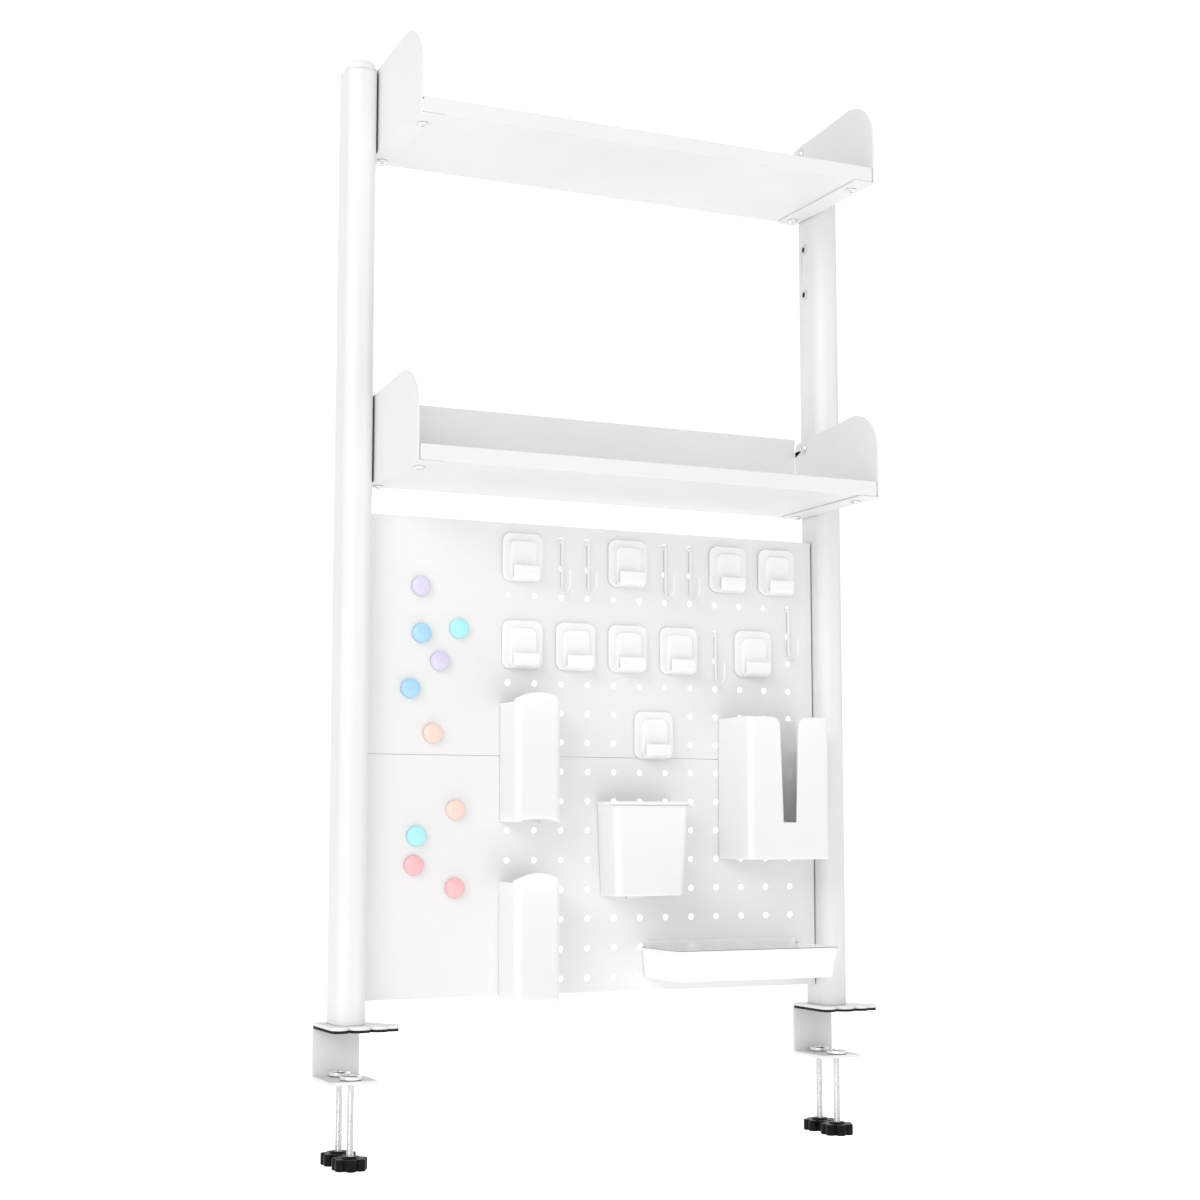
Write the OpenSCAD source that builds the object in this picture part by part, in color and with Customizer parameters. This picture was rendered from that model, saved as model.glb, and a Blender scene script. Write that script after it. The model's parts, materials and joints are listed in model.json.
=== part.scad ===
// Desk-edge tool wall: two posts on screw clamps carry two shelves and a two-part
// steel pegboard with hooks, bins and magnets. Millimetres, +Z up, front faces -Y.
// The origin lies midway between the posts, on the post centre plane, at the top
// surface of the desk that the clamps grip.

/* [Posts] */
// Clear width between the two posts
post_gap = 427; // [427:0.5:430]
// Width of a post, left to right
post_w = 25; // [24:1:30]
// Depth of a post, front to back
post_d = 40; // [36:1:46]
// Height of the tube, from the clamp plate to the cap
post_h = 793; // [792:1:830]
// Wall of the tube
post_wall = 1.5; // [1.2:0.1:2]
// Height of the domed cap
cap_h = 10; // [6:1:14]

/* [Pegboard] */
// Width of each panel
panel_w = 425; // [424:0.5:425]
// Height that each panel takes up
panel_h = 200; // [200:1:201]
// Underside of the lower panel above the desk
panel_z = 22.5; // [20:0.5:24]
// Depth of the folded rim behind each panel
panel_rim = 17; // [14:1:18]
// Distance between neighbouring holes
pitch = 25; // [25:1:25]
// Diameter of the holes
hole_d = 5.5; // [5.4:0.1:6]

/* [Shelves] */
// Underside of the upper shelf above the desk
upper_z = 730; // [728:0.5:732]
// Underside of the lower shelf above the desk
lower_z = 448.5; // [446:0.5:452]
// Depth of a shelf, front to back
shelf_d = 140; // [130:1:150]
// Height of the upturned front lip
lip_h = 13; // [10:1:20]
// Height of the side plates above the shelf
side_h = 78; // [76:1:84]
// How much lower the top edge of a side plate is at its back
side_drop = 8; // [0:1:8]
// Radius of the side plate's front top corner
side_r = 39; // [30:1:45]
// Height of the lower shelf's upturned back
back_h = 74; // [60:1:77]

/* [Clamps] */
// Space between the top jaw and the lower plate
jaw_gap = 38; // [34:1:44]
// Width of the clamp's bent bracket
clamp_w = 40; // [38:1:44]
// Thickness of the bracket
clamp_t = 3; // [2.5:0.5:3.5]
// Distance between the two screws of one clamp
screw_gap = 29.6; // [29.4:0.1:29.8]
// Length of screw that shows below the bracket
screw_drop = 56; // [45:1:60]
// Diameter of the star knobs
knob_d = 29; // [26:0.5:29]

/* [Hooks and bins] */
// Width of a plate hook
plate_w = 37; // [34:1:40]
// Height of a plate hook
plate_h = 41.5; // [40:0.5:44]
// Length of a wire hook's back leg
wire_leg = 38; // [30:1:40]
// Diameter of the wire
wire_d = 2.4; // [2:0.1:3]
// Diameter of the round magnets
magnet_d = 16.6; // [14:0.2:18]
// Wall of the bins
bin_wall = 2; // [1.6:0.1:2.4]

/* [Hidden] */
$fn = 64;

white = [0.93, 0.93, 0.92];
steel = [0.70, 0.71, 0.73];
black = [0.06, 0.06, 0.07];
lilac = [0.80, 0.76, 0.90];
blue = [0.62, 0.78, 0.95];
cyan = [0.62, 0.92, 0.95];
orange = [0.98, 0.80, 0.72];
pink = [0.97, 0.68, 0.72];

eps = 0.5;                                // how far a cut runs past the face it opens
post_x = (post_gap + post_w) / 2;         // centre line of each post
post_r = 10;                              // corner radius of the flat-oval tube
pad_t = 2;                                // rubber pad between clamp and desk
post_z = pad_t + clamp_t;                 // underside of the tube
post_top = post_z + post_h;
plug_h = 1.5;                             // how far a cap reaches into the tube
plug_play = 0.2;                          // play between tube and what is inside it

sheet = 1.2;                              // folded sheet of panels and trays
side_t = 1.5;                             // sheet of the side plates
nut_y = 4;                                // rivet nuts, behind the post centre plane
nut_flange = 0.8;
nut_r = 2.5;                              // M5
nut_body_r = 3.5;
nut_flange_r = 5;
nut_l = 11;                               // from the flange to the inner end
screw_r = 2.4;
screw_hole_r = 2.75;
head_r = 4.75;
head_h = 2.6;
wall_screw_l = 9;
tray_screw_l = 7;
inner_x = post_gap / 2 - nut_flange;      // plane where panels and side plates bolt on

panel_y = -3;                             // front face of the pegboard
seam = 0.6;
columns = 12;
rows = 8;
first_column = -87.5;
panel_screw_z = [-62.5, 62.5];            // from the middle of a panel

front_y = -120;                           // front edge of the shelves
side_holes_z = [20, 63];                  // above the underside of a shelf
spare_z = [658, 701];                     // unused rivet nuts below the upper shelf
tray_play = 1;                            // gap between a tray's ends and the side plates
tray_w = 2 * (inner_x - side_t - tray_play);
flange_w = 20;                            // foot of a side plate under the tray
foot_r = 8;
arc_steps = 28;                           // facets of a side plate's round corner
tray_screw_x = inner_x - 10;
tray_screw_y = [-97, 5];

web_y = 27;                               // rear face of the clamp's web
bend_r = 4;
jaw_front = -25;
screw_mid = -0.4;                         // middle of the two screws
plate_top = -jaw_gap;                     // upper face of the clamp's lower plate
foot_screw_y = [-11, 11];
foot_h = 18;                              // height of the tapped blocks
rod_r = 3;                                // M6
thread_play = 0.06;
neck_r = 2.5;
neck_play = 0.05;
disc_r = 9;
disc_t = 3.5;
disc_z = plate_top + 0.5;                 // underside of a disc with the clamp open
recess_r = 4.5;
recess_h = 2;
rivet_r = 3.6;
rivet_h = 1.2;
knob_h = 11;
knob_z = plate_top - clamp_t - screw_drop - knob_h;
knob_lobes = 7;

hang_gap = 0.3;                           // air between the pegboard and what hangs on it
hang_y = panel_y - hang_gap;
peg_r = 2.4;
peg_l = 7.5;
plate_t = 3.5;
plate_r = 7;
plate_below = 5;                          // plate centre below the middle of its pegs
tongue_w = 24;
tongue_r = 5;
tongue_t = 2.4;
bin_y = hang_y;

// ---------------------------------------------------------------- outlines

// Rectangle with round corners, centred
module round_rect(w, d, r) {
    square([w - 2 * r, d], center = true);
    square([w, d - 2 * r], center = true);
    for (sx = [-1, 1], sy = [-1, 1])
        translate([sx * (w / 2 - r), sy * (d / 2 - r)]) circle(r);
}

// Rectangle from y = 0 to y = -d whose two front corners are round
module front_round(w, d, r) {
    translate([-w / 2, r - d]) square([w, d - r]);
    translate([r - w / 2, -d]) square([w - 2 * r, d - r]);
    for (s = [-1, 1]) translate([s * (w / 2 - r), r - d]) circle(r);
}

// Stands an outline drawn in (y, z) in the plane x = 0 and gives it a thickness in +x
module side_sheet(t) {
    rotate([90, 0, 90]) linear_extrude(t) children();
}

// Stands an outline drawn in (x, z) in the plane y = 0 and gives it a thickness in +y
module front_sheet(t) {
    translate([0, t, 0]) rotate([90, 0, 0]) linear_extrude(t) children();
}

// Cylinder along +y from the plane y = 0
module rod_y(r, l) {
    rotate([-90, 0, 0]) cylinder(r = r, h = l);
}

// Cylinder along +x from the plane x = 0
module rod_x(r, l) {
    rotate([0, 90, 0]) cylinder(r = r, h = l);
}

// ---------------------------------------------------------------- fasteners

// Button-head screw along +z whose head hangs below z = 0
module button_screw(l) {
    crown_r = 5.9;
    socket_r = 1.73;
    socket_h = 1.6;
    cylinder(r = screw_r, h = l);
    difference() {
        rotate_extrude() intersection() {
            translate([0, -head_h]) square([head_r, head_h]);
            translate([0, crown_r - head_h - 0.7]) circle(crown_r);
        }
        translate([0, 0, -head_h - eps]) cylinder(r = socket_r, h = socket_h + eps, $fn = 6);
    }
}

// Rivet nut set in a wall, flange on +x side of x = 0, body reaching to -x
module rivet_nut() {
    difference() {
        union() {
            rod_x(nut_flange_r, nut_flange);
            translate([-nut_l, 0, 0]) rod_x(nut_body_r, nut_l);
        }
        translate([-nut_l - eps, 0, 0]) rod_x(nut_r, nut_l + nut_flange + 2 * eps);
    }
}

// Heights of the rivet nuts that the side plates, the spares and the panels use
function side_nuts() = [for (z = [upper_z, lower_z], h = side_holes_z) z + h];
function panel_mid(i) = panel_z + (i + 0.5) * panel_h;
function panel_nuts() = [for (i = [0, 1], h = panel_screw_z) panel_mid(i) + h];
function all_nuts() = concat(side_nuts(), spare_z, panel_nuts());

// ---------------------------------------------------------------- posts

// Post at the left; s = 1 puts it at the right
module post(s) {
    color(white) translate([s * post_x, 0, 0]) difference() {
        translate([0, 0, post_z]) linear_extrude(post_h) difference() {
            round_rect(post_w, post_d, post_r);
            round_rect(post_w - 2 * post_wall, post_d - 2 * post_wall, post_r - post_wall);
        }
        for (z = all_nuts())
            translate([-s * post_w / 2, nut_y, z])
                rotate([0, 90 * (1 - s), 0])
                translate([-eps, 0, 0]) rod_x(nut_body_r + 0.1, post_wall + 2 * eps);
    }
}

module post_caps() {
    color(white) for (s = [-1, 1]) translate([s * post_x, 0, post_top]) {
        scale([1, 1, cap_h / post_r]) intersection() {
            hull() for (sx = [-1, 1], sy = [-1, 1])
                translate([sx * (post_w / 2 - post_r), sy * (post_d / 2 - post_r), 0])
                    sphere(post_r, $fn = 32);
            translate([0, 0, post_r]) cube([post_w + 2, post_d + 2, 2 * post_r], center = true);
        }
        translate([0, 0, -plug_h]) linear_extrude(plug_h + 0.1)
            round_rect(post_w - 2 * (post_wall + plug_play), post_d - 2 * (post_wall + plug_play),
                       post_r - post_wall - plug_play);
    }
}

// Blocks welded in the feet of the tubes, tapped for the screws from below
module post_feet() {
    color(steel) for (s = [-1, 1]) translate([s * post_x, 0, post_z])
        linear_extrude(foot_h) difference() {
            round_rect(post_w - 2 * (post_wall + plug_play), post_d - 2 * (post_wall + plug_play),
                       post_r - post_wall - plug_play);
            for (y = foot_screw_y) translate([0, y]) circle(nut_r);
        }
}

// Countersunk screws that hold the posts on the clamps
module foot_screw(extra) {
    cone_h = 2.4;
    shank = 15;
    translate([0, 0, pad_t]) {
        cylinder(r = screw_r + extra, h = shank);
        translate([0, 0, -extra])
            cylinder(r1 = head_r + 2 * extra, r2 = screw_r + extra, h = cone_h + extra);
    }
}

module post_foot_screws() {
    color(steel) for (s = [-1, 1], y = foot_screw_y)
        translate([s * post_x, y, thread_play]) foot_screw(0);
}

module rivet_nuts() {
    color(steel) for (s = [-1, 1], z = all_nuts())
        translate([s * post_gap / 2, nut_y, z]) mirror([s > 0 ? 1 : 0, 0, 0]) rivet_nut();
}

// ---------------------------------------------------------------- pegboard

// Panel i counts from the bottom; its rim is folded back all round
module panel(i) {
    z0 = panel_z + i * panel_h + seam / 2;
    h = panel_h - seam;
    color(white) difference() {
        translate([0, panel_y, z0]) {
            translate([-panel_w / 2, 0, 0]) cube([panel_w, sheet, h]);
            for (x = [-panel_w / 2, panel_w / 2 - sheet])
                translate([x, 0, 0]) cube([sheet, panel_rim, h]);
            for (z = [0, h - sheet])
                translate([-panel_w / 2, 0, z]) cube([panel_w, panel_rim / 2, sheet]);
        }
        for (c = [0 : columns - 1], r = [0 : rows - 1])
            translate([first_column + c * pitch, panel_y - eps, panel_mid(i) + (r - (rows - 1) / 2) * pitch])
                rod_y(hole_d / 2, sheet + 2 * eps);
        for (x = [-panel_w / 2 - eps, panel_w / 2 - sheet - eps], dz = panel_screw_z)
            translate([x, nut_y, panel_mid(i) + dz]) rod_x(screw_hole_r, sheet + 2 * eps);
    }
}

module panel_screws() {
    x = panel_w / 2 - sheet;
    color(steel) for (s = [-1, 1], z = panel_nuts())
        translate([s * x, nut_y, z]) rotate([0, s * 90, 0]) button_screw(wall_screw_l);
}

// ---------------------------------------------------------------- shelves

// Tray with an upturned lip, hemmed at the top, and an upturned back if back > 0
module tray(z, back) {
    rear_y = front_y + shelf_d;
    color(white) difference() {
        translate([-tray_w / 2, 0, z]) side_sheet(tray_w) union() {
            translate([front_y, 0]) square([shelf_d, sheet]);
            translate([front_y, 0]) square([sheet, lip_h]);
            translate([front_y, lip_h - sheet]) square([5, sheet]);
            if (back > 0) translate([rear_y - sheet, 0]) square([sheet, back]);
        }
        for (s = [-1, 1], y = tray_screw_y)
            translate([s * tray_screw_x, y, z - eps]) cylinder(r = nut_r, h = sheet + 2 * eps);
    }
}

// Direction, seen from both centres, of the point where one upper tangent touches two circles
function tangent_turn(a, a_r, b, b_r) =
    atan2(b[1] - a[1], b[0] - a[0]) + acos((a_r - b_r) / norm(b - a));

// Points of an arc about c from one angle to another, a few degrees apart
function arc(c, r, from, to) =
    [for (i = [0:arc_steps]) let (a = from + (to - from) * i / arc_steps) c + r * [cos(a), sin(a)]];

// Side plate of the shelf at z with its foot turned in under the tray
module side(s, z) {
    rear_y = front_y + shelf_d;
    front = [front_y + side_r, side_h - side_r];
    rear = [rear_y - foot_r, side_h - side_drop - foot_r];
    turn = tangent_turn(front, side_r, rear, foot_r);
    color(white) translate([0, 0, z]) mirror([s > 0 ? 0 : 1, 0, 0]) difference() {
        union() {
            translate([inner_x - side_t, 0, 0]) side_sheet(side_t)
                polygon(concat([[front_y, -side_t], [rear_y, -side_t]],
                               arc(rear, foot_r, 0, turn), arc(front, side_r, turn, 180)));
            translate([inner_x - flange_w, 0, -side_t]) linear_extrude(side_t) {
                translate([0, front_y]) square([flange_w, shelf_d - foot_r]);
                translate([foot_r, front_y]) square([flange_w - foot_r, shelf_d]);
                translate([foot_r, rear_y - foot_r]) circle(foot_r);
            }
        }
        for (h = side_holes_z)
            translate([inner_x - side_t - eps, nut_y, h]) rod_x(screw_hole_r, side_t + 2 * eps);
        for (y = tray_screw_y)
            translate([tray_screw_x, y, -side_t - eps]) cylinder(r = screw_hole_r, h = side_t + 2 * eps);
    }
}

module tray_screws() {
    color(steel) for (s = [-1, 1], y = tray_screw_y, z = [upper_z, lower_z])
        translate([s * tray_screw_x, y, z - side_t]) button_screw(tray_screw_l);
}

module side_screws() {
    x = inner_x - side_t;
    color(steel) for (s = [-1, 1], z = side_nuts())
        translate([s * x, nut_y, z]) rotate([0, s * 90, 0]) button_screw(wall_screw_l);
}

// ---------------------------------------------------------------- clamps

// Outline of the top jaw, which flares to the right and ends in a scalloped front
module jaw_outline() {
    half = clamp_w / 2;
    polygon([[-half, web_y - bend_r], [half, web_y - bend_r], [half, 8], [37, jaw_front + 3],
             [-half, jaw_front + 3]]);
    for (lobe = [[-half + 7.5, 7.5], [4, 9.5], [20.5, 8.5], [31, 6]])
        translate([lobe[0], jaw_front + 3]) circle(lobe[1]);
}

// C-shaped bracket: top jaw, web behind the desk edge, tapped lower plate
module clamp(s) {
    h = pad_t + clamp_t + jaw_gap + clamp_t;
    d = web_y - jaw_front;
    color(white) translate([s * post_x, 0, 0]) difference() {
        union() {
            translate([-clamp_w / 2, 0, 0]) side_sheet(clamp_w) intersection() {
                translate([jaw_front, plate_top - clamp_t]) square([d, h]);
                translate([jaw_front, plate_top - clamp_t + h / 2]) difference() {
                    round_rect(2 * d, h, bend_r);
                    round_rect(2 * (d - clamp_t), h - 2 * clamp_t, bend_r - clamp_t);
                }
            }
            translate([0, 0, pad_t]) linear_extrude(clamp_t) jaw_outline();
        }
        for (y = foot_screw_y) translate([0, y, 0]) foot_screw(0.2);
        for (f = [-1, 1])
            translate([0, screw_mid + f * screw_gap / 2, plate_top - clamp_t - eps])
                cylinder(r = rod_r + thread_play, h = clamp_t + 2 * eps);
    }
}

// Pads under both jaws, cut round the foot screws and short of the web
module anti_slip_pads() {
    color(black) for (s = [-1, 1]) translate([s * post_x, 0, 0])
        linear_extrude(pad_t) intersection() {
            jaw_outline();
            translate([-clamp_w / 2, jaw_front - 20])
                square([2 * clamp_w, web_y - clamp_t - 0.2 - jaw_front + 20]);
        }
}

// Place of a clamp's screw; s is the side and f is -1 at the front, 1 at the rear
module at_screw(s, f) {
    translate([s * post_x, screw_mid + f * screw_gap / 2, 0]) children();
}

// Threaded rod with a neck and a rivet head that turn in the disc
module rod(s, f) {
    top = disc_z - neck_play;
    head_z = disc_z + disc_t - recess_h + neck_play;
    color(steel) at_screw(s, f) {
        translate([0, 0, knob_z + 2]) cylinder(r = rod_r, h = top - knob_z - 2);
        translate([0, 0, top]) cylinder(r = neck_r, h = head_z - top);
        translate([0, 0, head_z]) cylinder(r = rivet_r, h = rivet_h);
    }
}

module disc(s, f) {
    color(steel) at_screw(s, f) translate([0, 0, disc_z]) difference() {
        union() {
            cylinder(r = disc_r, h = disc_t - 1);
            translate([0, 0, disc_t - 1]) cylinder(r1 = disc_r, r2 = disc_r - 1, h = 1);
        }
        translate([0, 0, -eps]) cylinder(r = neck_r + neck_play, h = disc_t + 2 * eps);
        translate([0, 0, disc_t - recess_h]) cylinder(r = recess_r, h = recess_h + eps);
    }
}

// Star knob pressed on the rod's lower end
module knob(s, f) {
    lobe_r = 4.6;
    color(black) at_screw(s, f) translate([0, 0, knob_z]) difference() {
        union() {
            linear_extrude(knob_h - 1.5) {
                circle(knob_d / 2 - 4);
                for (i = [0 : knob_lobes - 1]) rotate(i * 360 / knob_lobes)
                    translate([knob_d / 2 - lobe_r, 0]) circle(lobe_r);
            }
            cylinder(r = 7, h = knob_h);
        }
        translate([0, 0, 2]) cylinder(r = rod_r, h = knob_h);
    }
}

// ---------------------------------------------------------------- hooks

// Peg that goes straight back through a hole at (x, z)
module peg(x, z, r = peg_r, back = hang_y) {
    translate([x, back - eps, z]) rod_y(r, peg_l + eps);
}

// Plate hook with its middle at (x, z): plate, four pegs and an upturned tongue
module plate_hook(x, z) {
    reach = 10;
    root_z = 14;
    low_z = -16;
    tip_z = -9;
    bend = 4.5;
    tongue_l = 60;
    color(white) translate([x, 0, z]) {
        translate([0, hang_y - plate_t, 0]) front_sheet(plate_t) round_rect(plate_w, plate_h, plate_r);
        for (px = [-1, 1], pz = [-1, 1])
            peg(px * pitch / 2, plate_below + pz * pitch / 2);
        intersection() {
            translate([-tongue_w / 2, hang_y - plate_t, 0]) side_sheet(tongue_w) {
                translate([-tongue_t, low_z]) square([tongue_t + eps, root_z - low_z]);
                translate([-reach, low_z]) square([tongue_t, tip_z - low_z]);
                translate([-reach + tongue_t / 2, tip_z]) circle(tongue_t / 2);
                translate([-reach + bend, low_z - bend]) square([reach - 2 * bend, tongue_t]);
                for (c = [-reach + bend, -bend]) translate([c, low_z]) difference() {
                    circle(bend);
                    circle(bend - tongue_t);
                    translate([-bend - eps, 0]) square(2 * (bend + eps));
                    translate([c < -bend ? 0 : -bend - eps, -bend - eps]) square(bend + eps);
                }
            }
            translate([0, hang_y - plate_t - reach - eps, root_z - tongue_l / 2])
                front_sheet(reach + 2 * eps) round_rect(tongue_w, tongue_l, tongue_r);
        }
    }
}

// Wire hook with its peg at (x, z): the wire goes down, round and up again in front
module wire_hook(x, z) {
    r = wire_d / 2;
    y0 = hang_y - r;
    turn_r = 8.5;
    tip = 10;
    translate([x, y0, z]) {
        rod_y(r, peg_l + r);
        sphere(r);
        translate([0, 0, -wire_leg]) cylinder(r = r, h = wire_leg);
        translate([0, -turn_r, -wire_leg]) rotate([90, 180, 90]) rotate_extrude(angle = 180)
            translate([turn_r, 0]) circle(r);
        translate([0, -2 * turn_r, -wire_leg]) cylinder(r = r, h = tip);
        translate([0, -2 * turn_r, tip - wire_leg]) sphere(r);
    }
}

module wire_hooks() {
    color(white) for (p = [[-37.5, 410], [-12.5, 410], [62.5, 410], [87.5, 410],
                           [112.5, 335], [187.5, 360]])
        wire_hook(p[0], p[1]);
}

// ---------------------------------------------------------------- bins

// Narrow open-topped holder with an arched front; z is the underside of its sides
module holder(x, z) {
    w = 41.5;
    d = 36.7;
    h = 100;
    arch = 8;
    foot = 2.5;
    foot_w = 5;
    foot_arch_r = 96;
    corner = 6;
    half_chord = w / 2 + 3;
    arch_r = (half_chord * half_chord + arch * arch) / (2 * arch);
    color(white) {
        translate([x, bin_y, z]) difference() {
            linear_extrude(h + arch) front_round(w, d, corner);
            translate([0, -bin_wall, foot + bin_wall]) linear_extrude(h + arch)
                front_round(w - 2 * bin_wall, d - 2 * bin_wall, corner - bin_wall);
            translate([0, -d - eps, 0]) front_sheet(d + 2 * eps) intersection() {
                translate([-w / 2 + foot_w, -eps]) square([w - 2 * foot_w, foot + eps]);
                translate([0, foot - foot_arch_r]) circle(foot_arch_r, $fn = 180);
            }
            translate([-w / 2 - eps, -d + corner, h]) cube([w + 2 * eps, d, arch + eps]);
            translate([0, -d - eps, h]) front_sheet(corner + 2 * eps) difference() {
                translate([-w / 2 - eps, 0]) square([w + 2 * eps, arch + eps]);
                translate([0, arch - arch_r]) circle(arch_r, $fn = 180);
            }
        }
        for (px = [-87.5, -62.5], pz = [1, 3])
            peg(px, z + h - 7 - (pz - 1) * pitch);
    }
}

// Tapered open box whose back stays flat; top and bottom are [width, depth]
module tapered(top, bottom, h, r) {
    hull() {
        translate([0, 0, h - 0.1]) linear_extrude(0.1) front_round(top[0], top[1], r, $fn = 32);
        linear_extrude(0.1) front_round(bottom[0], bottom[1], r, $fn = 32);
    }
}

module pen_cup() {
    w = 73.5;
    d = 38;
    h = 80;
    color(white) {
        translate([31.75, bin_y, 104.5]) difference() {
            union() {
                tapered([w - 2, d - 1], [w - 9, d - 5], h, 6);
                translate([0, 0, h - 3]) linear_extrude(3) front_round(w, d, 6);
                translate([-8, -3, -3]) cube([16, 3, 4]);
            }
            translate([0, -bin_wall, bin_wall])
                tapered([w - 2 - 2 * bin_wall, d - 1 - 2 * bin_wall],
                        [w - 9 - 2 * bin_wall, d - 5 - 2 * bin_wall], h, 4);
        }
        for (p = [[12.5, 160], [62.5, 160], [37.5, 110]]) peg(p[0], p[1]);
    }
}

// Box for tissues or gloves with a slot down its front
module dispenser_box() {
    w = 81;
    d = 56.3;
    h = 123.5;
    slot_top = 19;
    slot_low = 13;
    slot_z = 32;
    round_r = 9;
    color(white) {
        translate([155.5, bin_y, 135]) difference() {
            linear_extrude(h) front_round(w, d, 5);
            translate([0, -bin_wall, bin_wall]) linear_extrude(h)
                front_round(w - 2 * bin_wall, d - 2 * bin_wall, 5 - bin_wall);
            translate([0, -d - eps, 0]) front_sheet(bin_wall + 2 * eps) {
                polygon([[-slot_low / 2, slot_z], [slot_low / 2, slot_z],
                         [slot_top / 2, h + eps], [-slot_top / 2, h + eps]]);
                for (s = [-1, 1]) difference() {
                    translate([s * (slot_top / 2 + round_r / 2 - eps), h - round_r / 2 + eps])
                        square(round_r + 2 * eps, center = true);
                    translate([s * (slot_top / 2 + round_r - eps), h - round_r]) circle(round_r);
                }
            }
        }
        for (px = [137.5, 187.5], pz = [185, 235]) peg(px, pz);
    }
}

// Wide shallow tray whose back stands a little higher to reach a row of holes
module tool_tray() {
    w = 157;
    d = 69.7;
    h = 26;
    back = 31;
    color(white) {
        translate([117, bin_y, 34]) difference() {
            union() {
                tapered([w, d], [w - 6, d - 4], h, 5);
                translate([-w / 2 + 4, -bin_wall, h - 2]) cube([w - 8, bin_wall, back - h + 2]);
            }
            translate([0, -bin_wall, bin_wall])
                tapered([w - 2 * bin_wall, d - 2 * bin_wall],
                        [w - 6 - 2 * bin_wall, d - 4 - 2 * bin_wall], h, 3.5);
        }
        for (px = [62.5, 112.5, 162.5]) peg(px, 60);
    }
}

// ---------------------------------------------------------------- magnets

// Round magnet with a slightly domed face, its middle at (x, z)
module magnet(x, z, c) {
    r = magnet_d / 2;
    rim = 3.5;
    dome = 2.2;
    dome_r = (r * r + dome * dome) / (2 * dome);
    color(c) translate([x, hang_y, z]) rotate([90, 0, 0]) rotate_extrude() intersection() {
        square([r, rim + dome]);
        translate([0, rim + dome - dome_r]) circle(dome_r, $fn = 128);
    }
}

// ---------------------------------------------------------------- assembly

post(-1);  // post_left
post(1);  // post_right
post_caps();
post_feet();
post_foot_screws();
rivet_nuts();
panel(1);  // panel_upper
panel(0);  // panel_lower
panel_screws();
tray(upper_z, 0);  // tray_upper
tray(lower_z, back_h);  // tray_lower
tray_screws();
side(-1, upper_z);  // side_upper_left
side(1, upper_z);  // side_upper_right
side(-1, lower_z);  // side_lower_left
side(1, lower_z);  // side_lower_right
side_screws();
clamp(-1);  // clamp_left
clamp(1);  // clamp_right
anti_slip_pads();
rod(-1, 1);  // rod_left_rear
rod(-1, -1);  // rod_left_front
rod(1, 1);  // rod_right_rear
rod(1, -1);  // rod_right_front
knob(-1, 1);  // knob_left_rear
knob(-1, -1);  // knob_left_front
knob(1, 1);  // knob_right_rear
knob(1, -1);  // knob_right_front
disc(-1, 1);  // disc_left_rear
disc(-1, -1);  // disc_left_front
disc(1, 1);  // disc_right_rear
disc(1, -1);  // disc_right_front
holder(-73.75, 167);  // holder_upper
holder(-73.75, 17);  // holder_lower
pen_cup();
dispenser_box();
tool_tray();
wire_hooks();
plate_hook(-75, 392.5);  // plate_hook_1
plate_hook(25, 392.5);  // plate_hook_2
plate_hook(125, 392.5);  // plate_hook_3
plate_hook(175, 392.5);  // plate_hook_4
plate_hook(-75, 317.5);  // plate_hook_5
plate_hook(-25, 317.5);  // plate_hook_6
plate_hook(25, 317.5);  // plate_hook_7
plate_hook(75, 317.5);  // plate_hook_8
plate_hook(150, 317.5);  // plate_hook_9
plate_hook(50, 242.5);  // plate_hook_10
magnet(-167, 363.5, lilac);  // magnet_lilac_1
magnet(-149.5, 301, lilac);  // magnet_lilac_2
magnet(-166, 324, blue);  // magnet_blue_1
magnet(-175.5, 277.5, blue);  // magnet_blue_2
magnet(-132.5, 329, cyan);  // magnet_cyan_1
magnet(-169, 155.5, cyan);  // magnet_cyan_2
magnet(-155.5, 240.5, orange);  // magnet_orange_1
magnet(-134.5, 177, orange);  // magnet_orange_2
magnet(-171, 131.5, pink);  // magnet_pink_1
magnet(-135, 112.5, pink);  // magnet_pink_2
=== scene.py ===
"""Looks for the desk-clamp tool wall: camera, soft light, materials and finely edged pieces."""

import json
import math

import bmesh
import bpy
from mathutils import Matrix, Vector


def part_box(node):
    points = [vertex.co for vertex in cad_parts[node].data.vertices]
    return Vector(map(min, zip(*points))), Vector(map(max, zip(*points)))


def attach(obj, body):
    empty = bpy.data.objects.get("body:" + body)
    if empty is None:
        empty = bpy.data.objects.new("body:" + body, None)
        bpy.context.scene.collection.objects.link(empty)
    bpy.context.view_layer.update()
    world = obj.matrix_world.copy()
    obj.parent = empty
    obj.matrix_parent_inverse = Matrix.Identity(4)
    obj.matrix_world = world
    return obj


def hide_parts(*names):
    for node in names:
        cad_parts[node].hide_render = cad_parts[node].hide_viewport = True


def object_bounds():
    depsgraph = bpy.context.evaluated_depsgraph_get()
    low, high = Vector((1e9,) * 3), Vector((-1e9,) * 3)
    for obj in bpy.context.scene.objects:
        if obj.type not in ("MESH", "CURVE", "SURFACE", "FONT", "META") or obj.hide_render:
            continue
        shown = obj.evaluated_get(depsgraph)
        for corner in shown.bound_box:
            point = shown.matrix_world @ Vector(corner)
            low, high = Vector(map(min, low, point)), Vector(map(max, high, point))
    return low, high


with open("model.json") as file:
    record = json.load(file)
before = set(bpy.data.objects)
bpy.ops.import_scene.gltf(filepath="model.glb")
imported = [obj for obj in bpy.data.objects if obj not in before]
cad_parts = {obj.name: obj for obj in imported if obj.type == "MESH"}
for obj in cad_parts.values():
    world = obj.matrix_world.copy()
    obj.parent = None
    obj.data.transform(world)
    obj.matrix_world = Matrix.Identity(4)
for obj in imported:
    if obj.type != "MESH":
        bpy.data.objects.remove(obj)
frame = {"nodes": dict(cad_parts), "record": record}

CAD_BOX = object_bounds()
MM = 0.001
CREASE = math.radians(50)
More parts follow.
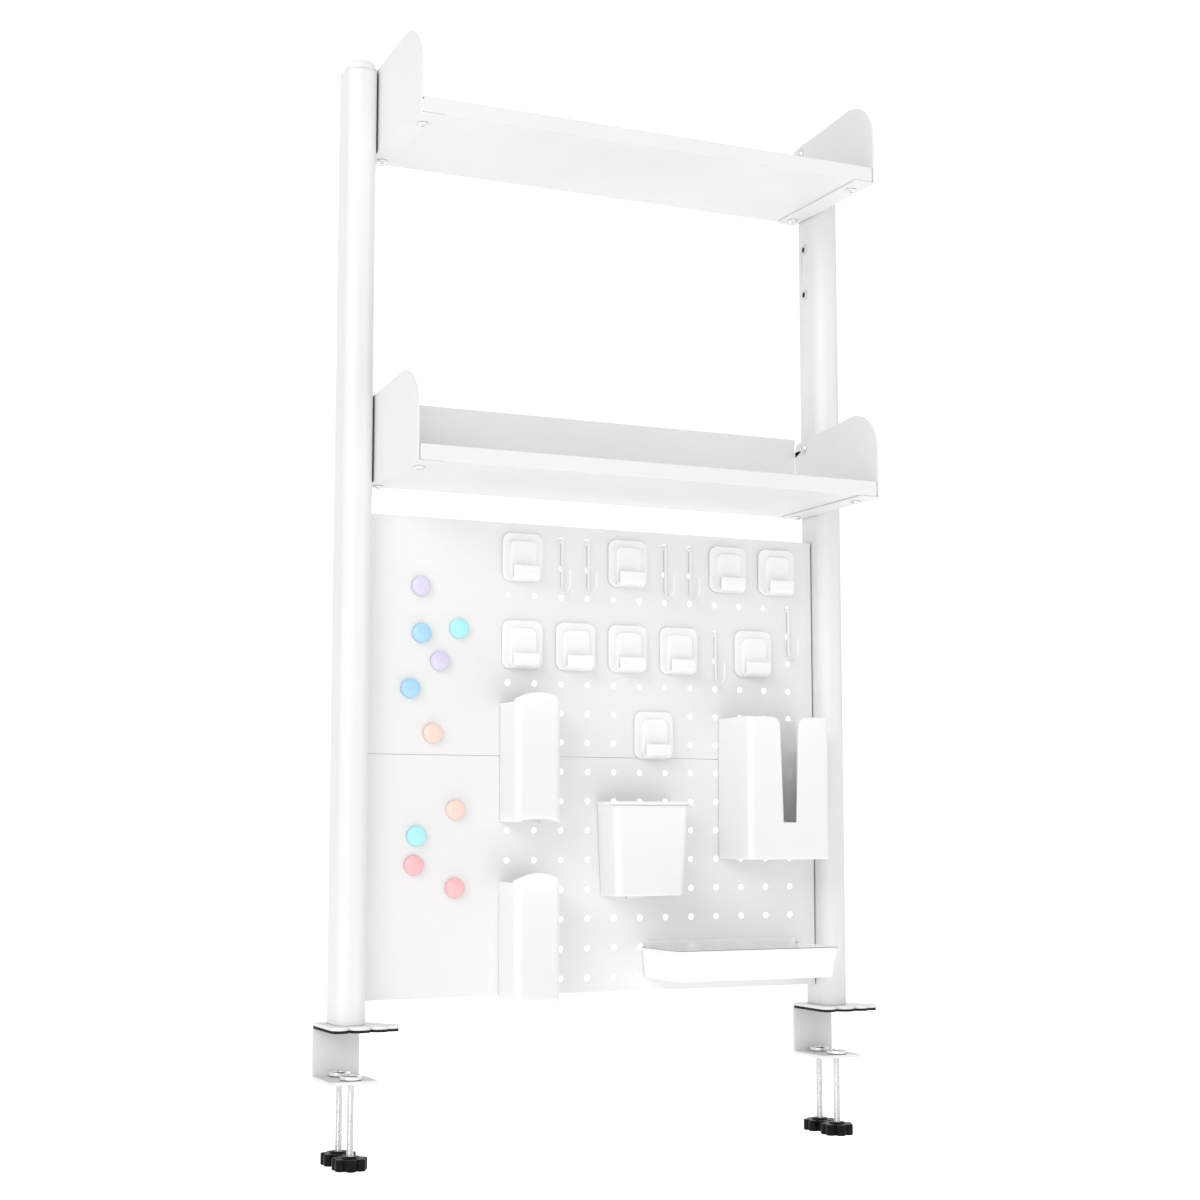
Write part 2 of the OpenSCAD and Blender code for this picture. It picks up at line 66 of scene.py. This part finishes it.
BODY_OF = {
    node: body
    for body, nodes in frame["record"]["behaviour"]["bodies"].items()
    for node in nodes
}
SLOT_OF = {part["node"]: part["material_slot"] for part in frame["record"]["subparts"]}


# ---------------------------------------------------------------- camera, light and floor

def make_camera():
    """Low at the left, turned right and up a little, as the photograph sees the wall."""
    data = bpy.data.cameras.new("camera")
    data.lens = 60.84
    data.sensor_width = 36.0
    camera = bpy.data.objects.new("camera", data)
    camera.location = (-0.7445, -1.5957, 0.1619)
    camera.rotation_euler = (math.radians(96.42), 0.0, math.radians(-25.03))
    bpy.context.collection.objects.link(camera)
    bpy.context.scene.camera = camera


def area_light(name, place, aim, size, power):
    data = bpy.data.lights.new(name, "AREA")
    data.shape = "DISK"
    data.size = size
    data.energy = power
    light = bpy.data.objects.new(name, data)
    light.location = place
    light.rotation_euler = (Vector(aim) - Vector(place)).to_track_quat("-Z", "Y").to_euler()
    bpy.context.collection.objects.link(light)


def make_light():
    """Three soft lamps in a white surround, whose strength differs by the kind of ray."""
    middle = (CAD_BOX[0] + CAD_BOX[1]) / 2
    area_light("key", (-4.4, -3.3, 2.9), middle, size=3.2, power=96)
    area_light("front", (-0.9, -3.4, 0.9), middle, size=2.2, power=12)
    area_light("rim", (1.6, 1.8, 1.6), middle, size=1.4, power=12)
    world = bpy.data.worlds.new("studio")
    world.use_nodes = True
    tree = world.node_tree
    path = tree.nodes.new("ShaderNodeLightPath")
    lit, mirrored, seen = (tree.nodes.new("ShaderNodeBackground") for _ in range(3))
    for background, strength in ((lit, 0.62), (mirrored, 0.78), (seen, 1.1)):
        background.inputs["Color"].default_value = (1.0, 1.0, 1.0, 1.0)
        background.inputs["Strength"].default_value = strength
    shown = lit
    for ray, background in (("Is Glossy Ray", mirrored), ("Is Camera Ray", seen)):
        mix = tree.nodes.new("ShaderNodeMixShader")
        tree.links.new(path.outputs[ray], mix.inputs[0])
        tree.links.new(shown.outputs[0], mix.inputs[1])
        tree.links.new(background.outputs[0], mix.inputs[2])
        shown = mix
    tree.links.new(shown.outputs[0], tree.nodes["World Output"].inputs["Surface"])
    bpy.context.scene.world = world
    bpy.context.scene.view_settings.view_transform = "Standard"


def make_floor():
    """Pale floor a hand's breadth under the knobs; it glows a little, as a light table does."""
    half = 14.0
    drop = 0.12
    glow_on_object = 0.43
    glow_to_camera = 0.70
    z = CAD_BOX[0].z - drop
    mesh = bpy.data.meshes.new("floor")
    corners = [(-half, -half, z), (half, -half, z), (half, half, z), (-half, half, z)]
    mesh.from_pydata(corners, [], [(0, 1, 2, 3)])
    floor = bpy.data.objects.new("floor", mesh)
    bpy.context.collection.objects.link(floor)
    material = bpy.data.materials.new("floor")
    material.use_nodes = True
    shader = material.node_tree.nodes["Principled BSDF"]
    shader.inputs["Base Color"].default_value = (0.9, 0.9, 0.9, 1.0)
    shader.inputs["Roughness"].default_value = 0.8
    shader.inputs["Emission Color"].default_value = (1.0, 1.0, 1.0, 1.0)
    path = material.node_tree.nodes.new("ShaderNodeLightPath")
    glow = material.node_tree.nodes.new("ShaderNodeMapRange")
    glow.inputs["To Min"].default_value = glow_on_object
    glow.inputs["To Max"].default_value = glow_to_camera
    material.node_tree.links.new(path.outputs["Is Camera Ray"], glow.inputs["Value"])
    material.node_tree.links.new(glow.outputs["Result"], shader.inputs["Emission Strength"])
    mesh.materials.append(material)


# ---------------------------------------------------------------- materials

class Shader:
    """One material's node tree, with short calls for the nodes that the finishes share."""

    def __init__(self, name):
        self.material = bpy.data.materials.new(name)
        self.material.use_nodes = True
        self.tree = self.material.node_tree
        self.bsdf = self.tree.nodes["Principled BSDF"]
        self.place = self.tree.nodes.new("ShaderNodeTexCoord").outputs["Object"]

    def link(self, source, target):
        self.tree.links.new(source, target)

    def noise(self, scale, detail=2.0, stretch=None):
        """Noise in object space, in blobs about 1/scale metres across."""
        place = self.place
        if stretch:
            mapping = self.tree.nodes.new("ShaderNodeMapping")
            mapping.inputs["Scale"].default_value = stretch
            self.link(place, mapping.inputs["Vector"])
            place = mapping.outputs["Vector"]
        node = self.tree.nodes.new("ShaderNodeTexNoise")
        node.inputs["Scale"].default_value = scale
        node.inputs["Detail"].default_value = detail
        self.link(place, node.inputs["Vector"])
        return node.outputs["Fac"]

    def remap(self, value, low, high, to_low=0.0, to_high=1.0):
        node = self.tree.nodes.new("ShaderNodeMapRange")
        node.inputs["From Min"].default_value = low
        node.inputs["From Max"].default_value = high
        node.inputs["To Min"].default_value = to_low
        node.inputs["To Max"].default_value = to_high
        self.link(value, node.inputs["Value"])
        return node.outputs["Result"]

    def clouds(self, scale, detail=2.0, stretch=None):
        """Soft clouds from 0 to 1, as likely light as dark."""
        return self.remap(self.noise(scale, detail, stretch), 0.35, 0.65)

    def roughness(self, scale, detail, low, high):
        """Roughness that wanders between low and high."""
        return self.remap(self.noise(scale, detail), 0.3, 0.7, low, high)

    def maths(self, operation, a, b):
        node = self.tree.nodes.new("ShaderNodeMath")
        node.operation = operation
        node.use_clamp = True
        self.link(a, node.inputs[0])
        if isinstance(b, float):
            node.inputs[1].default_value = b
        else:
            self.link(b, node.inputs[1])
        return node.outputs[0]

    def mix(self, amount, a, b):
        """Colour between a and b; each is a colour or another node's output."""
        node = self.tree.nodes.new("ShaderNodeMix")
        node.data_type = "RGBA"
        self.link(amount, node.inputs["Factor"])
        for socket, colour in (("A", a), ("B", b)):
            target = [s for s in node.inputs if s.name == socket and s.type == "RGBA"][0]
            if isinstance(colour, tuple):
                target.default_value = (*colour, 1.0)
            else:
                self.link(colour, target)
        return [s for s in node.outputs if s.type == "RGBA"][0]

    def tinge(self, body, where, share, colour):
        """The body colour with at most this share of another colour laid over it."""
        return self.mix(self.maths("MULTIPLY", where, share), body, colour)

    def edges(self, width):
        """1 on outer and inner edges that are tighter than width, 0 on flat faces."""
        bevel = self.tree.nodes.new("ShaderNodeBevel")
        bevel.samples = 6
        bevel.inputs["Radius"].default_value = width
        geometry = self.tree.nodes.new("ShaderNodeNewGeometry")
        dot = self.tree.nodes.new("ShaderNodeVectorMath")
        dot.operation = "DOT_PRODUCT"
        self.link(bevel.outputs["Normal"], dot.inputs[0])
        self.link(geometry.outputs["Normal"], dot.inputs[1])
        return self.remap(dot.outputs["Value"], 0.98, 0.75)

    def crevices(self, reach):
        """1 deep in gaps narrower than about reach, 0 in the open and in plain corners."""
        shut = self.tree.nodes.new("ShaderNodeAmbientOcclusion")
        shut.samples = 8
        shut.inputs["Distance"].default_value = reach
        return self.remap(shut.outputs["AO"], 0.48, 0.12)

    def bump(self, height, depth, strength, under=None):
        node = self.tree.nodes.new("ShaderNodeBump")
        node.inputs["Distance"].default_value = depth
        node.inputs["Strength"].default_value = strength
        self.link(height, node.inputs["Height"])
        if under:
            self.link(under, node.inputs["Normal"])
        return node.outputs["Normal"]

    def finish(self, colour, roughness, normal, **uniform):
        self.link(colour, self.bsdf.inputs["Base Color"])
        self.link(roughness, self.bsdf.inputs["Roughness"])
        self.link(normal, self.bsdf.inputs["Normal"])
        for name, value in uniform.items():
            self.bsdf.inputs[name.replace("_", " ")].default_value = value
        return self.material


def shade(colour, factor):
    return tuple(channel * factor for channel in colour)


def powder_coat(name, colour):
    """Satin powder coat: orange peel, faint clouds, dull worn edges, painted shade in narrow gaps
    between parts.
    """
    s = Shader(name)
    bare_steel = (0.52, 0.53, 0.54)
    painted_gap_shade = (0.10, 0.10, 0.105)
    body = s.mix(s.clouds(7.0, 3.0), colour, shade(colour, 0.965))
    fleck = s.remap(s.noise(1500.0, 1.0), 0.62, 0.72, to_high=0.35)
    body = s.mix(fleck, body, shade(colour, 0.93))
    patches = s.remap(s.noise(160.0, 3.0), 0.45, 0.62)
    wear = s.maths("MULTIPLY", s.edges(0.7 * MM), patches)
    body = s.tinge(body, wear, 0.30, bare_steel)
    # painted shade: the ambient-occlusion crevice mask darkens the coat towards near black in
    # narrow gaps between parts
    body = s.tinge(body, s.crevices(2.5 * MM), 0.85, painted_gap_shade)
    rough = s.roughness(45.0, 4.0, 0.34, 0.46)
    peel = s.bump(s.noise(750.0), depth=0.08 * MM, strength=0.55)
    fine = s.bump(s.noise(2600.0, 1.0), depth=0.02 * MM, strength=0.5, under=peel)
    return s.finish(body, rough, fine)


def moulded_plastic(name, colour, low=0.36, high=0.48, grain=0.5, glow=0.0):
    """Moulded plastic: fine spark-eroded grain, soft flow marks, edges rubbed a little smoother.

    With glow, light passes through thin walls.
    """
    s = Shader(name)
    body = s.mix(s.clouds(9.0, stretch=(1.0, 1.0, 0.35)), colour, shade(colour, 0.97))
    rub = s.edges(0.6 * MM)
    body = s.tinge(body, rub, 0.10, shade(colour, 0.85))
    rough = s.roughness(70.0, 3.0, low, high)
    rough = s.maths("SUBTRACT", rough, s.maths("MULTIPLY", rub, 0.08))
    fine = s.bump(s.noise(3200.0), depth=0.02 * MM, strength=grain)
    s.bsdf.inputs["Subsurface Radius"].default_value = (1.0, 1.0, 1.0)
    return s.finish(body, rough, fine, Subsurface_Weight=glow, Subsurface_Scale=4.0 * MM)


def zinc_plate(name):
    """Bright zinc on turned steel: rings of machining, blue and straw tints, painted shade
    darkening edges, creases and gaps.
    """
    s = Shader(name)
    blue_tint, straw_tint = (0.86, 0.865, 0.88), (0.88, 0.875, 0.86)
    dull = (0.66, 0.66, 0.67)
    painted_edge_shade = (0.12, 0.12, 0.125)
    painted_crevice_shade = (0.05, 0.05, 0.052)
    body = s.mix(s.clouds(60.0), blue_tint, straw_tint)
    body = s.mix(s.remap(s.noise(300.0, 4.0), 0.60, 0.78, to_high=0.5), body, dull)
    # painted shade: edges and creases are darkened towards near black as dark outlines
    body = s.tinge(body, s.edges(0.5 * MM), 0.8, painted_edge_shade)
    # painted shade: the ambient-occlusion crevice mask darkens narrow gaps and recesses to near
    # black
    body = s.mix(s.crevices(1.5 * MM), body, painted_crevice_shade)
    rough = s.roughness(500.0, 3.0, 0.20, 0.36)
    rings = s.noise(1800.0, 1.0, stretch=(0.2, 0.2, 2.5))
    return s.finish(body, rough, s.bump(rings, depth=0.02 * MM, strength=0.5), Metallic=1.0)


def black_knob(name):
    """Glass-filled black plastic: matt grain, pale scuffs along the lobes."""
    s = Shader(name)
    deep, worn, scuffed = (0.003, 0.003, 0.0035), (0.007, 0.007, 0.0075), (0.06, 0.06, 0.063)
    body = s.mix(s.remap(s.noise(120.0, 3.0), 0.4, 0.65), deep, worn)
    scuffs = s.maths("MULTIPLY", s.edges(0.8 * MM), s.remap(s.noise(400.0, 3.0), 0.4, 0.6))
    body = s.tinge(body, scuffs, 0.5, scuffed)
    rough = s.roughness(220.0, 3.0, 0.28, 0.42)
    grain = s.bump(s.noise(2200.0, 3.0), depth=0.05 * MM, strength=0.7)
    return s.finish(body, rough, grain, Specular_IOR_Level=0.12)


def rubber(name):
    """Black anti-slip rubber: dull, dusty, with a coarse pebbled skin."""
    s = Shader(name)
    clean, dusty = (0.014, 0.014, 0.014), (0.045, 0.044, 0.042)
    body = s.mix(s.remap(s.noise(90.0, 4.0), 0.45, 0.7, to_high=0.5), clean, dusty)
    rough = s.roughness(150.0, 2.0, 0.72, 0.9)
    pebble = s.bump(s.noise(900.0), depth=0.15 * MM, strength=0.8)
    return s.finish(body, rough, pebble, Specular_IOR_Level=0.2)


def magnet_cap(name, colour):
    """Glossy tinted plastic cap: colour even but for painted shade on the rim, faint swirl, fine
    hairline scratches.
    """
    s = Shader(name)
    body = s.mix(s.clouds(140.0), colour, shade(colour, 0.94))
    # painted shade: the rim and shoulder of the dome are darkened
    body = s.tinge(body, s.edges(3.0 * MM), 0.35, shade(colour, 0.72))
    rough = s.remap(s.noise(900.0, 4.0, stretch=(1.0, 1.0, 0.15)), 0.4, 0.7, 0.20, 0.34)
    scratches = s.noise(2400.0, 1.0, stretch=(1.0, 1.0, 0.1))
    hairline = s.bump(scratches, depth=0.01 * MM, strength=0.4)
    return s.finish(body, rough, hairline, Coat_Weight=0.35, Coat_Roughness=0.12)


def make_materials():
    """One finish for each material slot."""
    coat_white = (0.84, 0.84, 0.835)
    plastic_white = (0.92, 0.92, 0.915)
    wire_white = (0.86, 0.86, 0.855)
    made = {
        "white_powder_coat": powder_coat("white_powder_coat", coat_white),
        "white_plastic": moulded_plastic("white_plastic", plastic_white, glow=0.8),
        "white_coated_wire": moulded_plastic(
            "white_coated_wire", wire_white, low=0.28, high=0.38, grain=0.3
        ),
        "zinc_steel": zinc_plate("zinc_steel"),
        "black_knob_plastic": black_knob("black_knob_plastic"),
        "black_rubber": rubber("black_rubber"),
    }
    magnets = {
        "magnet_lilac": (0.72, 0.68, 0.86),
        "magnet_blue": (0.42, 0.70, 0.94),
        "magnet_cyan": (0.44, 0.90, 0.95),
        "magnet_orange": (0.96, 0.70, 0.61),
        "magnet_pink": (0.96, 0.52, 0.55),
    }
    for name, colour in magnets.items():
        made[name] = magnet_cap(name, colour)
    return made


# ---------------------------------------------------------------- pieces

def place_piece(name, mesh, nodes, body, slot):
    """Links a finished mesh as a piece that stands for CAD nodes and rides on their body."""
    mesh.materials.clear()
    mesh.materials.append(MATERIALS[slot])
    piece = bpy.data.objects.new(name, mesh)
    bpy.context.collection.objects.link(piece)
    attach(piece, body)
    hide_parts(*nodes)


def refine_corners(edit, node):
    """Cuts the round corners of a post's tube finer and sets them on their true radius."""
    low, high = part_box(node)
    middle = (low + high) / 2
    outer_r, inner_r = 10.0 * MM, 8.5 * MM
    radius_slack = 0.3 * MM
    step_slack = 0.1 * MM
    hair = 0.01 * MM
    inset = Vector((high.x - middle.x - outer_r, high.y - middle.y - outer_r))

    def reach(vert):
        """Distance from the centre of the corner's arc, 0 for points beside the arc."""
        off = Vector((abs(vert.co.x - middle.x), abs(vert.co.y - middle.y))) - inset
        return off.length if min(off) > -hair else 0.0

    arcs = [edge for edge in edit.edges
            if abs(edge.verts[0].co.z - edge.verts[1].co.z) < hair
            and min(reach(v) for v in edge.verts) > inner_r - radius_slack
            and abs(reach(edge.verts[0]) - reach(edge.verts[1])) < step_slack]
    cut = bmesh.ops.subdivide_edges(edit, edges=arcs, cuts=3, use_grid_fill=True)
    for vert in [g for g in cut["geom_inner"] if isinstance(g, bmesh.types.BMVert)]:
        now = reach(vert)
        if now > 0.0:
            target = min((outer_r, inner_r), key=lambda radius: abs(radius - now))
            for axis in (0, 1):
                side = math.copysign(1.0, vert.co[axis] - middle[axis])
                centre = middle[axis] + side * inset[axis]
                vert.co[axis] = centre + (vert.co[axis] - centre) * target / now


def rounded_copy(node, width, segments):
    """Copy of a node whose sharp edges are rounded off to a small radius."""
    one_point = 0.03 * MM
    flat = math.radians(0.6)
    sharp = math.radians(38)
    mesh = frame["nodes"][node].data.copy()
    edit = bmesh.new()
    edit.from_mesh(mesh)
    bmesh.ops.remove_doubles(edit, verts=edit.verts, dist=one_point)
    bmesh.ops.dissolve_limit(edit, angle_limit=flat, verts=edit.verts, edges=edit.edges)
    if node in ("post_left", "post_right"):
        refine_corners(edit, node)
    edit.to_mesh(mesh)
    edit.free()
    mesh.shade_smooth()
    work = bpy.data.objects.new("work", mesh)
    bpy.context.collection.objects.link(work)
    bevel = work.modifiers.new("round", "BEVEL")
    bevel.width = width
    bevel.segments = segments
    bevel.limit_method = "ANGLE"
    bevel.angle_limit = sharp
    bevel.use_clamp_overlap = False
    bevel.miter_outer = "MITER_ARC"
    weighted = work.modifiers.new("faces first", "WEIGHTED_NORMAL")
    weighted.mode = "FACE_AREA"
    weighted.weight = 100
    weighted.keep_sharp = True
    graph = bpy.context.evaluated_depsgraph_get()
    made = bpy.data.meshes.new_from_object(work.evaluated_get(graph))
    bpy.data.objects.remove(work)
    place_piece("fine_" + node, made, [node], BODY_OF[node], SLOT_OF[node])


def skin(edit, loops):
    """Faces over a row of rings of points, with a cap at each end."""
    around = len(loops[0])
    for lower, upper in zip(loops, loops[1:]):
        for k in range(around):
            n = (k + 1) % around
            edit.faces.new((lower[k], lower[n], upper[n], upper[k]))
    edit.faces.new(list(reversed(loops[0])))
    edit.faces.new(loops[-1])


def smooth_mesh(name, edit):
    """Mesh from an edit mesh, shaded smooth except over its creases."""
    mesh = bpy.data.meshes.new(name)
    edit.to_mesh(mesh)
    edit.free()
    mesh.shade_smooth()
    mesh.set_sharp_from_angle(angle=CREASE)
    return mesh


def thread_radius(turn, root, crest):
    """Radius of a 60 degree thread at a fraction of one pitch, with flats at root and crest."""
    flat = 0.125
    rise = (1.0 - 2 * flat) / 2
    if turn < flat:
        return crest
    if turn < flat + rise:
        return crest + (root - crest) * (turn - flat) / rise
    if turn < 2 * flat + rise:
        return root
    return root + (crest - root) * (turn - 2 * flat - rise) / rise


def threaded_rod(node):
    """M6 rod with a real helical thread, smooth at its neck and rivet head."""
    low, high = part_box(node)
    centre = (low + high) / 2
    crest = 3.0 * MM
    root = 2.60 * MM
    pitch = 1.0 * MM
    fade = 1.5 * MM
    around = 24
    per_pitch = 8
    neck_r = 2.5 * MM
    neck_h = 1.6 * MM
    head_r = 3.6 * MM
    head_h = 1.2 * MM
    lip = 0.2 * MM
    dome = ((0.6 * MM, 1.0), (0.25 * MM, 0.88), (0.0, 0.55))   # (depth, share of head_r)
    shoulder = high.z - head_h - neck_h
    rings = int((shoulder - low.z) / pitch * per_pitch)
    thread = [(low.z + (shoulder - low.z) * i / rings, None) for i in range(rings + 1)]
    head = [(shoulder, neck_r), (high.z - head_h, neck_r), (high.z - head_h, head_r - lip),
            (high.z - head_h + lip, head_r)]
    head += [(high.z - depth, head_r * share) for depth, share in dome]
    edit = bmesh.new()
    loops = []
    for z, fixed in thread + head:
        loop = []
        for k in range(around):
            angle = 2 * math.pi * k / around
            radius = fixed
            if radius is None:
                radius = thread_radius(((z - low.z) / pitch - k / around) % 1.0, root, crest)
                if min(z - low.z, shoulder - z) < fade:
                    radius = root + (radius - root) * min(z - low.z, shoulder - z) / fade
            loop.append(edit.verts.new((centre.x + radius * math.cos(angle),
                                        centre.y + radius * math.sin(angle), z)))
        loops.append(loop)
    skin(edit, loops)
    mesh = smooth_mesh("thread", edit)
    place_piece("threaded_" + node, mesh, [node], BODY_OF[node], SLOT_OF[node])


def lathe_y(centre, back, profile):
    """Closed turned mesh about an axis along y; the profile is (radius, height towards -y)."""
    around = 48
    edit = bmesh.new()
    loops = []
    for radius, height in profile:
        loops.append([edit.verts.new((centre.x + radius * math.cos(2 * math.pi * k / around),
                                      back - height,
                                      centre.z + radius * math.sin(2 * math.pi * k / around)))
                      for k in range(around)])
    skin(edit, loops)
    bmesh.ops.recalc_face_normals(edit, faces=edit.faces)
    return smooth_mesh("turned", edit)


def domed_magnet(node):
    """Magnet cap whose side runs over a soft shoulder into a shallow dome."""
    low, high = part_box(node)
    radius = (high.x - low.x) / 2
    height = high.y - low.y
    side = 0.45 * height
    lip = 0.25 * MM
    crown_r = 0.04 * radius
    fullness = 0.55
    steps = 14
    profile = [(radius - lip, 0.0), (radius, lip), (radius, side)]
    for i in range(1, steps):
        turn = math.pi / 2 * i / steps
        profile.append((radius * math.cos(turn) ** fullness,
                        side + (height - side) * math.sin(turn)))
    profile.append((crown_r, height))
    mesh = lathe_y((low + high) / 2, high.y, profile)
    place_piece("domed_" + node, mesh, [node], BODY_OF[node], SLOT_OF[node])


def make_pieces():
    """Fine copies of the nodes, grouped by how widely their edges are rounded."""
    narrow = 0.5 * MM
    rounding = {
        0.45 * MM: ["tray_upper", "tray_lower", "side_upper_left", "side_upper_right",
                    "side_lower_left", "side_lower_right"],
        0.30 * MM: ["panel_upper", "panel_lower", "rivet_nuts", "tray_screws", "side_screws",
                    "panel_screws"],
        0.60 * MM: ["clamp_left", "clamp_right", "pen_cup", "dispenser_box", "tool_tray",
                    "holder_upper", "holder_lower"],
        0.50 * MM: ["post_left", "post_right"],
        0.20 * MM: ["post_caps"],
        0.35 * MM: [n for n in frame["nodes"] if n.startswith("disc_")],
        0.80 * MM: [n for n in frame["nodes"] if n.startswith(("knob_", "plate_hook_"))],
    }
    for width, nodes in rounding.items():
        for node in nodes:
            rounded_copy(node, width, segments=3 if width > narrow else 2)
    for node in frame["nodes"]:
        if node.startswith("rod_"):
            threaded_rod(node)
        if node.startswith("magnet_"):
            domed_magnet(node)


def finish_nodes():
    """Gives every CAD node that still shows the finish of its slot."""
    for name, node in frame["nodes"].items():
        for i in range(max(1, len(node.material_slots))):
            if len(node.material_slots) <= i:
                node.data.materials.append(MATERIALS[SLOT_OF[name]])
            else:
                node.material_slots[i].material = MATERIALS[SLOT_OF[name]]


make_camera()
make_light()
make_floor()
MATERIALS = make_materials()
finish_nodes()
make_pieces()
